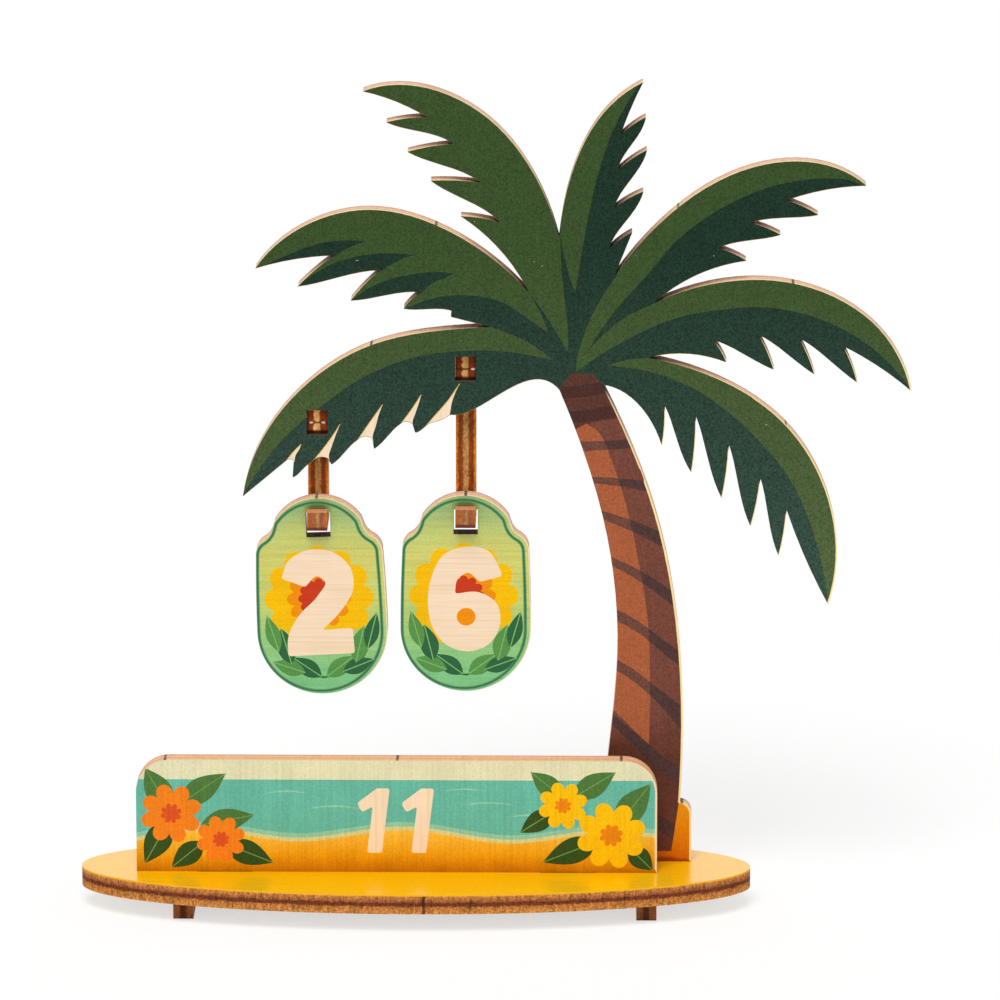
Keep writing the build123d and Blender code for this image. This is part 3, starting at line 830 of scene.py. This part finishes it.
TAG_INKS = {
    "border": (58, 114, 80), "soft_border": (104, 158, 104), "petal": (245, 188, 0), "ring": (240, 142, 6),
    "centre": (200, 58, 28), "vein": (126, 184, 104),
}
TAG_GREENS = {"leaf": (88, 146, 74), "dark_leaf": (46, 100, 62)}
COVER_SHIFT = (-0.15, 0.0)
BORDER_SHIFT = (-0.3, -0.1)
BORDER_INSETS = (0.28, 0.4, 0.66, 0.8)
NUMERAL_CORNER = 0.45
TAG_NICK_RISE = 4.8
TAG_STOPS = [
    (0.0, (122, 191, 128)), (0.1, (129, 197, 134)), (0.28, (154, 198, 124)), (0.46, (196, 206, 112)),
    (0.68, (210, 206, 110)), (0.8, (194, 202, 114)), (0.91, (166, 188, 120)), (1.0, (146, 180, 112)),
]
TWO = eased(closed(
    [(-5.8, -10), (-4.6, -7.3), (-1.8, -5.8), (1.8, -6.1), (4.5, -8.6), (4.8, -12), (2.9, -15.2),
     (0, -18.1)],
    [(4.5, -17.9)], [(4.7, -21.8)], [(-5.2, -22)],
    [(-5.2, -19.4), (-3.5, -15.9), (-0.4, -12.7), (0.7, -10.7), (-0.4, -9.8), (-2.3, -11.4)],
), NUMERAL_CORNER)
SIX = eased(closed(
    [(5.4, -9.8), (3.3, -6.3), (-0.1, -5.7), (-3.3, -7), (-5.1, -10.5), (-5.6, -14.7), (-4.9, -18.2),
     (-2.7, -20.9), (0.3, -21.8), (3.5, -20.6), (5.1, -17.5), (4.6, -14.4), (2, -12.7), (-1.6, -12.9)],
    [(-1.2, -10.7), (0.3, -9.7), (2.1, -11.1)], [(5.4, -10.2)],
), NUMERAL_CORNER)
SIX_COUNTER = ellipse((0.06, -16.46), 1.4, 1.36)
FLOWER_MIDDLE = (-0.3, -13.2)
FLOWER_PETALS = 12
# Ink, inner and outer radius
FLOWER_RINGS = [("petal", 6.6, 8.1), ("ring", 3.6, 4.8), ("centre", 2.4, 3.1)]
GARLAND_STEM = [(0, -25.4), (3.2, -24.6), (5.9, -22.4), (7.5, -18.6)]
# Root, tip and width
GARLAND_LEAVES = [
    ((0.4, -25.3), (4.6, -22.2), 2.6), ((2.8, -24.6), (7.6, -22.8), 2.4), ((4.8, -23.2), (6.2, -17.6), 2.8),
    ((6.6, -21.2), (8.2, -15.6), 2.2),
]
STEM_WIDTH = 0.3
VEIN_WIDTH = 0.16


def mirrored(points):
    """Points on the other side of the tag's middle."""
    return [(-x, z) for x, z in points]


def make_tag(name, node, body, origin, tilt, numeral, counters):
    """A number tag: graded green ground in a border line, a scalloped rosette, leaves and a bare numeral."""
    height = span(node, "z")
    ground = print_look(name + "_ground_print", TAG_STOPS, "X", height, streak=0.09, smoke_and_shadow=origin)
    inks = plain_inks(name, TAG_INKS, "X")
    greens = list(plain_inks(name, TAG_GREENS, "X", speckle=0.16).values())
    bare = bare_look(name + "_bare_veneer", "X")
    lean = math.sin(math.radians(tilt))
    edge = upright_edge(name + "_cut_edge", node, [(origin[0] - lean * TAG_NICK_RISE, height[1])])
    loop = divided(front_loops(node)[0])
    lines = [[point + Vector(BORDER_SHIFT) for point in inset(loop, step)] for step in BORDER_INSETS]
    drawn = []
    for ink, inner, outer in FLOWER_RINGS:
        drawn.append((rosette(FLOWER_MIDDLE, inner, outer, FLOWER_PETALS), inks[ink]))
    for side, stem in enumerate((GARLAND_STEM, mirrored(GARLAND_STEM))):
        drawn.append((ribbon(stem, STEM_WIDTH), greens[1]))
        for number, (root, tip, width) in enumerate(GARLAND_LEAVES):
            root, tip = mirrored((root, tip)) if side else (root, tip)
            drawn.append((leaf(root, tip, width), greens[(number + side) % 2]))
            drawn.append((ribbon([root, tip], VEIN_WIDTH), inks["vein"]))
    drawn.append((numeral, bare))
    drawn += [(outline, inks["ring"]) for outline in counters]
    prints = [([point + Vector(COVER_SHIFT) for point in loop], ground)]
    prints += list(zip(lines, (inks["soft_border"], inks["border"], inks["soft_border"], ground)))
    prints += [(placed(outline, origin, tilt), look) for outline, look in drawn]
    printed_board(name, node, body, prints, edge, bare, bare)


make_tag("tens_printed_tag", "tens_tag", "tens", TENS_HOLE, TENS_TILT, TWO, [])
make_tag("units_printed_tag", "units_tag", "units", UNITS_HOLE, 0.0, SIX, [SIX_COUNTER])

# Month board, drawn from its lower left corner

BOARD_NICKS = [(-48.9, 23.25), (-14.3, 23.3), (19, 23.3)]
BOARD_GAP = 0.3
BOARD_LAYERS = [
    (0.0, (240, 206, 158)), (0.12, (236, 192, 146)), (0.3, (232, 180, 134)), (0.4, (222, 164, 120)),
    (0.55, (240, 188, 144)), (0.72, (238, 184, 142)), (0.86, (220, 168, 130)), (1.0, (214, 160, 126)),
]
BOARD_INKS = {
    "sea": (103, 184, 162), "foam": (142, 200, 168), "shore": (214, 208, 140), "orange": (240, 128, 24),
    "orange_middle": (216, 82, 30), "yellow": (248, 190, 0), "yellow_middle": (230, 132, 8),
    "vein": (112, 150, 78),
}
BOARD_GREENS = {"leaf": (78, 120, 58), "dark_leaf": (52, 78, 28)}
BOARD_STREAK = 0.1
SKY = (226, 221, 180)
SEA_TOP = 14.3
# Paler upwards; the darkest stop at the board's foot is painted shade where the board meets the base
SAND_STOPS = [(0.0, (182, 110, 0)), (0.07, (202, 122, 0)), (0.3, (234, 158, 4)), (1.0, (255, 208, 74))]
# The bands run past the board's ends and foot
PAST_LEFT = -2
PAST_RIGHT = BOARD_LENGTH + 2
PAST_FOOT = -5
COAST = [(-2, 5.6), (9, 7.6), (24, 6), (40, 7.8), (56, 5.8), (70, 7.4), (79.6, 6.6)]
COAST_DROPS = {"foam": 0.0, "shore": 0.7, "sand": 1.3}
# Left end, length and rise
WAVES = [
    (19, 12.2, 7, 0.3), (25, 9.8, 9, 0.4), (45.5, 12.6, 7, 0.3), (48, 10.4, 9, 0.4), (55, 8.6, 7, 0.3),
]
WAVE_SIDES = (0.16, -0.12)
# Root, tip and width
BOARD_LEAVES = [
    ((5, 9.6), (1.4, 16), 4), ((6.4, 10.4), (13.4, 15.2), 3.8), ((9.6, 7.2), (17.6, 8.8), 3.6),
    ((71.4, 7), (76.6, 13.8), 4.2), ((63.6, 11.6), (58.8, 15.6), 3.2), ((65, 11.6), (71.4, 15.6), 3.6),
]
BOARD_DARK_LEAVES = [
    ((5, 8), (1.2, 1.2), 4), ((10, 4.6), (5.2, 0.6), 3.4), ((13, 4.4), (20.4, 1.4), 3.8),
    ((62.4, 9.6), (57.2, 6.2), 3.2), ((69, 5), (60.6, 1.6), 4), ((73.4, 4), (77, 0.4), 3.2),
]
# Middle, radius and ink
BOARD_ROSETTES = [
    ((12.6, 5), 3.7, "orange"), ((5.2, 9), 4.6, "orange"), ((63.6, 10.4), 3.7, "yellow"),
    ((70.8, 5.8), 5.2, "yellow"),
]
ROSETTE_PETALS = 8
ROSETTE_TURN = 0.3
ROSETTE_INNER = 0.62
ROSETTE_MIDDLE = (0.2, 0.34)
ONE = [(0, 0), (2.2, 0), (2.2, 10), (0.3, 10), (-2.4, 7.7), (-1.5, 6.3), (0, 7.2)]
ONE_SLANT = 0.12
ONE_PLACES = (34.4, 41.0)
ONE_BOTTOM = 3.0


def numeral_one(x):
    """A plain leaning numeral with a flag."""
    return eased(corners(*[(x + px + ONE_SLANT * pz, ONE_BOTTOM + pz) for px, pz in ONE]), NUMERAL_CORNER)


def wave_line(x, z, length, rise):
    """A thin pale line on the water."""
    return stripe(*[[(x, z), (x + length / 2, z + rise + side), (x + length, z)] for side in WAVE_SIDES])


def make_month_board():
    """The month board: bands of sky, water and sand, rosettes and leaves at each end, and a bare numeral."""
    sky = print_look("board_sky_print", SKY, "Z", speckle=0.08, streak=0.07)
    inks = plain_inks("board", BOARD_INKS, "Z", streak=BOARD_STREAK)
    inks.update(plain_inks("board", BOARD_GREENS, "Z", speckle=0.18, streak=BOARD_STREAK))
    inks["sand"] = print_look("board_sand_print", SAND_STOPS, "Z", LOW_HEIGHTS, streak=BOARD_STREAK)
    bare = bare_look("board_bare_veneer", "Z")
    edge = upright_edge("board_cut_edge", "month_board", BOARD_NICKS, BOARD_LAYERS)
    foot = [(PAST_RIGHT, PAST_FOOT), (PAST_LEFT, PAST_FOOT)]
    drawn = [(corners(*foot[::-1], (PAST_RIGHT, SEA_TOP), (PAST_LEFT, SEA_TOP)), inks["sea"])]
    for ink, drop in COAST_DROPS.items():
        coast = [(x, z - drop) for x, z in COAST]
        drawn.append((closed(coast, foot[:1], foot[1:]), inks[ink]))
    drawn += [(wave_line(*wave), inks["foam"]) for wave in WAVES]
    for ink, leaves in (("leaf", BOARD_LEAVES), ("dark_leaf", BOARD_DARK_LEAVES)):
        for root, tip, width in leaves:
            drawn.append((leaf(root, tip, width), inks[ink]))
            drawn.append((ribbon([root, tip], VEIN_WIDTH), inks["vein"]))
    for place, size, ink in BOARD_ROSETTES:
        for inner, outer, look in ((ROSETTE_INNER, 1.0, inks[ink]), (*ROSETTE_MIDDLE, inks[ink + "_middle"])):
            drawn.append((rosette(place, size * inner, size * outer, ROSETTE_PETALS, ROSETTE_TURN), look))
    drawn += [(numeral_one(x), bare) for x in ONE_PLACES]
    loop = divided(front_loops("month_board")[0])
    cover = [p - Vector((BOARD_GAP if p.y > OVER_BASE else 0.0, 0.0)) for p in loop]
    prints = [(cover, sky)] + [(placed(outline, BOARD_CORNER), look) for outline, look in drawn]
    printed_board("month_printed_board", "month_board", "month", prints, edge, bare, bare)


make_month_board()

# Base, feet and hooks keep their CAD shapes

BASE_LAYERS = [
    (0.0, (218, 144, 67)), (0.25, (200, 128, 61)), (0.36, (190, 118, 59)), (0.42, (124, 60, 32)),
    (0.56, (112, 54, 29)), (0.62, (158, 92, 50)), (0.78, (194, 122, 64)), (1.0, (228, 150, 72)),
]
FOOT_LAYERS = [
    (0.0, (160, 96, 50)), (0.3, (138, 80, 42)), (0.38, (84, 44, 26)), (0.6, (90, 48, 28)),
    (0.66, (140, 82, 44)), (1.0, (160, 98, 52)),
]
HOOK_LAYERS = [
    (0.0, (232, 138, 28)), (0.08, (220, 124, 26)), (0.15, (140, 66, 24)), (0.33, (146, 70, 26)),
    (0.4, (200, 148, 86)), (0.6, (198, 144, 82)), (0.67, (144, 68, 24)), (0.85, (138, 62, 22)),
    (0.92, (222, 126, 26)), (1.0, (234, 140, 28)),
]
# Plies of a tab's end, darker than the hook's edge as painted shade of the frond's hole around it
TAB_LAYERS = [
    (0.0, (104, 44, 16)), (0.1, (126, 54, 18)), (0.3, (118, 48, 16)), (0.38, (212, 158, 94)),
    (0.58, (206, 150, 88)), (0.66, (118, 48, 18)), (0.9, (126, 54, 20)), (1.0, (96, 40, 16)),
]
STRIP_VENEER = (222, 186, 138)
STRIP_STREAK = ((176, 124, 74), 0.4, 0.7)
STRIP_SPECULAR = 0.08
STRIP_ROUGHNESS = (0.5, 0.72)
STRIP_RELIEF = 0.04
STRIP_FIBRES = (2.0, 1.8, 0.12)
FACES_SIDEWAYS = 0.7
END_FRONT = 3.6
END_MOTTLE = 1.5
END_WANDER = 0.05
TAB_TONES = (0.65, 1.25)
TAB_BOTTOM_DROP = 5.2
TAB_MARGIN = -1.0
# A dark line across a tab's end: painted shade of a thin gap
TAB_GAP_SHADE = ((58, 26, 14), 0.1, 0.2, 0.8, 0.0)
TAB_GAP_DROP = 3.55
TAB_SHADE = ((36, 14, 8), 0.35, 0.65, 0.95, 0.0)
# Painted pale glints along the tab's dark line
PALE_GLINT = ((240, 218, 204), 0.26, 0.364, 0.9, 0.0)
PALE_GLINT_FLATNESS = 2.0
# How bright each hook's tab is, and where across it painted pale glints lie
HOOK_TABS = {"left_hook": (1.45, (0.2, 0.8)), "right_hook": (1.1, (0.86,))}
PRONG_LAYERS = [
    (0.0, (188, 110, 50)), (0.12, (168, 92, 44)), (0.3, (176, 104, 56)), (0.42, (152, 100, 60)),
    (0.55, (188, 132, 80)), (0.68, (142, 86, 64)), (0.85, (172, 96, 50)), (1.0, (190, 110, 52)),
]
PRONG_TONES = (0.7, 1.2)
# Pale top of a prong's end: painted highlight where light falls from above
PRONG_TOP_HIGHLIGHT = ((230, 152, 112), 2.7, 2.8, 0.0, 0.7)
PRONG_END = 3.2
PRONG_SHADE = (104, 48, 32)
PRONG_SHADE_FADE = (0.4, 0.6, 1.0, 0.0)
PRONG_PATCHES = (0.3, 0.6, 0.7, 1.0)


def hook_ends(look, colour, node, tone, glints):
    """A hook's colour with its front ends: the tab in the frond's hole and the prong under the tag."""
    left, right = span(node, "x")
    bottom, top = span(node, "z")
    mottle = look.noise(END_MOTTLE, seed=83, detail=4)
    height = look.along("Z")
    front = look.math("LESS_THAN", look.along("Y"), END_FRONT)
    above = look.math("SUBTRACT", height, top - TAB_BOTTOM_DROP)
    across = look.spread(look.along("X"), left, right)
    across = look.math("ADD", across, look.vary(mottle, -END_WANDER, END_WANDER))
    tab = look.shaded(look.ramp(across, TAB_LAYERS), look.vary(mottle, *[tone * t for t in TAB_TONES]))
    away = look.math("ABSOLUTE", look.math("SUBTRACT", height, top - TAB_GAP_DROP))
    tab = look.toned(tab, away, TAB_GAP_SHADE)
    for share in glints:
        away = look.away(left + share * (right - left), top - TAB_GAP_DROP, PALE_GLINT_FLATNESS)
        tab = look.toned(tab, away, PALE_GLINT)
    tab = look.toned(tab, above, TAB_SHADE)
    on_tab = look.times(front, look.math("GREATER_THAN", above, TAB_MARGIN))
    colour = look.mix(on_tab, colour, tab)
    above_foot = look.math("SUBTRACT", height, bottom)
    prong = look.shaded(look.ramp(across, PRONG_LAYERS), look.vary(mottle, *PRONG_TONES))
    prong = look.toned(prong, above_foot, PRONG_TOP_HIGHLIGHT)
    on_prong = look.times(front, look.math("LESS_THAN", above_foot, PRONG_END))
    colour = look.mix(on_prong, colour, prong)
    foot = look.times(front, look.spread(above_foot, *PRONG_SHADE_FADE))
    foot = look.times(foot, look.spread(mottle, *PRONG_PATCHES))
    return look.mix(foot, colour, PRONG_SHADE)


def strip_look(node, layers):
    """A strip of plywood standing on edge: plies across its thickness, bare veneer on both sides."""
    look = Look(node + "_ply", STRIP_SPECULAR)
    colour, streaks = cut_edge(look, "X", span(node, "x"), layers, *STRIP_CUT)
    fibres = look.noise(STRIP_FIBRES, seed=17, detail=4)
    if node in HOOK_TABS:
        colour = hook_ends(look, colour, node, *HOOK_TABS[node])
    veneer = look.toned(STRIP_VENEER, fibres, STRIP_STREAK)
    side = look.math("GREATER_THAN", look.math("ABSOLUTE", look.along("X", look.facing)), FACES_SIDEWAYS)
    colour = look.mix(side, colour, veneer)
    return look.done(colour, look.vary(streaks, *STRIP_ROUGHNESS), streaks, STRIP_RELIEF)


BASE_PRINT = (255, 194, 0)
BASE_GRAIN_TONES = (0.94, 1.05)
BASE_SPECK_TONES = (0.9, 1.08)
BASE_RIM = ((252, 186, 26), 0.16, 0.32, 0.9, 0.0)
BASE_NICK = -10.2
BASE_NICK_FADE = (0.17, 0.255, 0.8, 0.0)
LACQUER_ROUGHNESS = 0.2
UNDER_LACQUER = (0.3, 0.4)
UNDER_STREAK = (BARE_STREAK[0], 0.4, 0.7)
FACES_UP = 0.5


def base_look():
    """The base: lacquered orange print on top, scorched layered edge, bare veneer underneath."""
    look = Look("base_ply_print", PRINT_SPECULAR)
    depth = span("base_board", "z")
    colour, streaks = cut_edge(look, "Z", depth, BASE_LAYERS, *BASE_CUT)
    apart = look.math("ABSOLUTE", look.math("SUBTRACT", look.along("X"), BASE_NICK))
    front = look.math("LESS_THAN", look.along("Y"), 0.0)
    share = look.times(front, look.spread(apart, *BASE_NICK_FADE))
    colour = look.mix(share, colour, CHAR)
    below = look.math("SUBTRACT", depth[1], look.along("Z"))
    colour = look.toned(colour, below, BASE_RIM)
    grain = look.noise(grain_density("X"), seed=9, detail=3)
    specks = look.noise(FINE_SPECKS, seed=3, detail=3)
    ink = look.shaded(BASE_PRINT, look.vary(grain, *BASE_GRAIN_TONES))
    ink = look.shaded(ink, look.vary(specks, *BASE_SPECK_TONES))
    veneer = look.toned(BARE, grain, UNDER_STREAK)
    up = look.along("Z", look.facing)
    top = look.math("GREATER_THAN", up, FACES_UP)
    look.tree.links.new(top, look.surface.inputs["Coat Weight"])
    look.surface.inputs["Coat Roughness"].default_value = LACQUER_ROUGHNESS
    colour = look.mix(top, colour, ink)
    colour = look.mix(look.math("LESS_THAN", up, -FACES_UP), colour, veneer)
    rough = look.vary(streaks, *EDGE_ROUGHNESS)
    satin = look.vary(grain, *UNDER_LACQUER)
    roughness = look.add("Mix", {0: top, 2: rough, 3: satin}).outputs[0]
    relief = look.add("Mix", {0: top, 2: streaks, 3: grain}).outputs[0]
    return look.done(colour, roughness, relief, INK_RELIEF)


def dress(node, material):
    """Gives a CAD node its material."""
    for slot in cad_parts[node].material_slots:
        slot.material = material


dress("base_board", base_look())
for foot in ("left_foot", "right_foot"):
    dress(foot, strip_look(foot, FOOT_LAYERS))
for hook in HOOK_TABS:
    dress(hook, strip_look(hook, HOOK_LAYERS))

# Floor, light and camera

WHITE = (1.0, 1.0, 1.0, 1.0)
FLOOR_SIZE = 8.0
FLOOR_ROUGHNESS = 0.9
FLOOR_WHITE = 0.9
FLOOR_SEEN = 0.38
FLOOR_GLOW = 0.62
SKY_LIGHT = 0.5
SUN_FROM = (-0.1, -0.6, 1.0)
SUN_POWER = 1.9
SUN_SOFTNESS = 30.0
CAMERA_PLACE = (15.55, -1100.0, 343.0)
CAMERA_YAW = -0.0133
CAMERA_PITCH = 0.2497
LENS = 276.5


def set_by_ray(tree, socket, lighting, seen):
    """Gives a socket one value for light on the object, another for the camera, mirrors and glass."""
    path = tree.nodes.new("ShaderNodeLightPath")
    total = path.outputs["Is Camera Ray"]
    for name in ("Is Glossy Ray", "Is Transmission Ray"):
        node = tree.nodes.new("ShaderNodeMath")
        node.operation = "MAXIMUM"
        tree.links.new(total, node.inputs[0])
        tree.links.new(path.outputs[name], node.inputs[1])
        total = node.outputs[0]
    choice = tree.nodes.new("ShaderNodeMapRange")
    choice.inputs["To Min"].default_value = lighting
    choice.inputs["To Max"].default_value = seen
    tree.links.new(total, choice.inputs["Value"])
    tree.links.new(choice.outputs[0], socket)


def make_floor():
    """A plain white floor that keeps the object's shadow."""
    half = FLOOR_SIZE / 2
    mesh = bpy.data.meshes.new("floor")
    around = [(-half, -half, 0), (half, -half, 0), (half, half, 0), (-half, half, 0)]
    mesh.from_pydata(around, [], [(0, 1, 2, 3)])
    material = bpy.data.materials.new("floor_paper")
    material.use_nodes = True
    tree = material.node_tree
    inputs = tree.nodes["Principled BSDF"].inputs
    inputs["Roughness"].default_value = FLOOR_ROUGHNESS
    inputs["Specular IOR Level"].default_value = 0.0
    inputs["Emission Color"].default_value = WHITE
    set_by_ray(tree, inputs["Base Color"], FLOOR_WHITE, FLOOR_SEEN)
    set_by_ray(tree, inputs["Emission Strength"], 0.0, FLOOR_GLOW)
    mesh.materials.append(material)
    floor = new_object("floor", mesh)


def make_light():
    """Even white surroundings, dimmer as a light than as a background, and a soft lamp above the front."""
    world = bpy.data.worlds.new("studio")
    world.use_nodes = True
    inputs = world.node_tree.nodes["Background"].inputs
    inputs["Color"].default_value = WHITE
    set_by_ray(world.node_tree, inputs["Strength"], SKY_LIGHT, 1.0)
    bpy.context.scene.world = world
    data = bpy.data.lights.new("sun", "SUN")
    data.energy = SUN_POWER
    data.angle = math.radians(SUN_SOFTNESS)
    lamp = new_object("sun", data)
    lamp.rotation_euler = (-Vector(SUN_FROM)).to_track_quat("-Z", "Y").to_euler()


def make_camera():
    """The photograph's view."""
    data = bpy.data.cameras.new("camera")
    data.lens = LENS
    camera = new_object("camera", data)
    camera.location = Vector(CAMERA_PLACE) / PER_METRE
    camera.rotation_euler = (math.pi / 2 - CAMERA_PITCH, 0.0, -CAMERA_YAW)
    bpy.context.scene.camera = camera


make_floor()
make_light()
make_camera()
bpy.context.scene.view_settings.view_transform = "Standard"
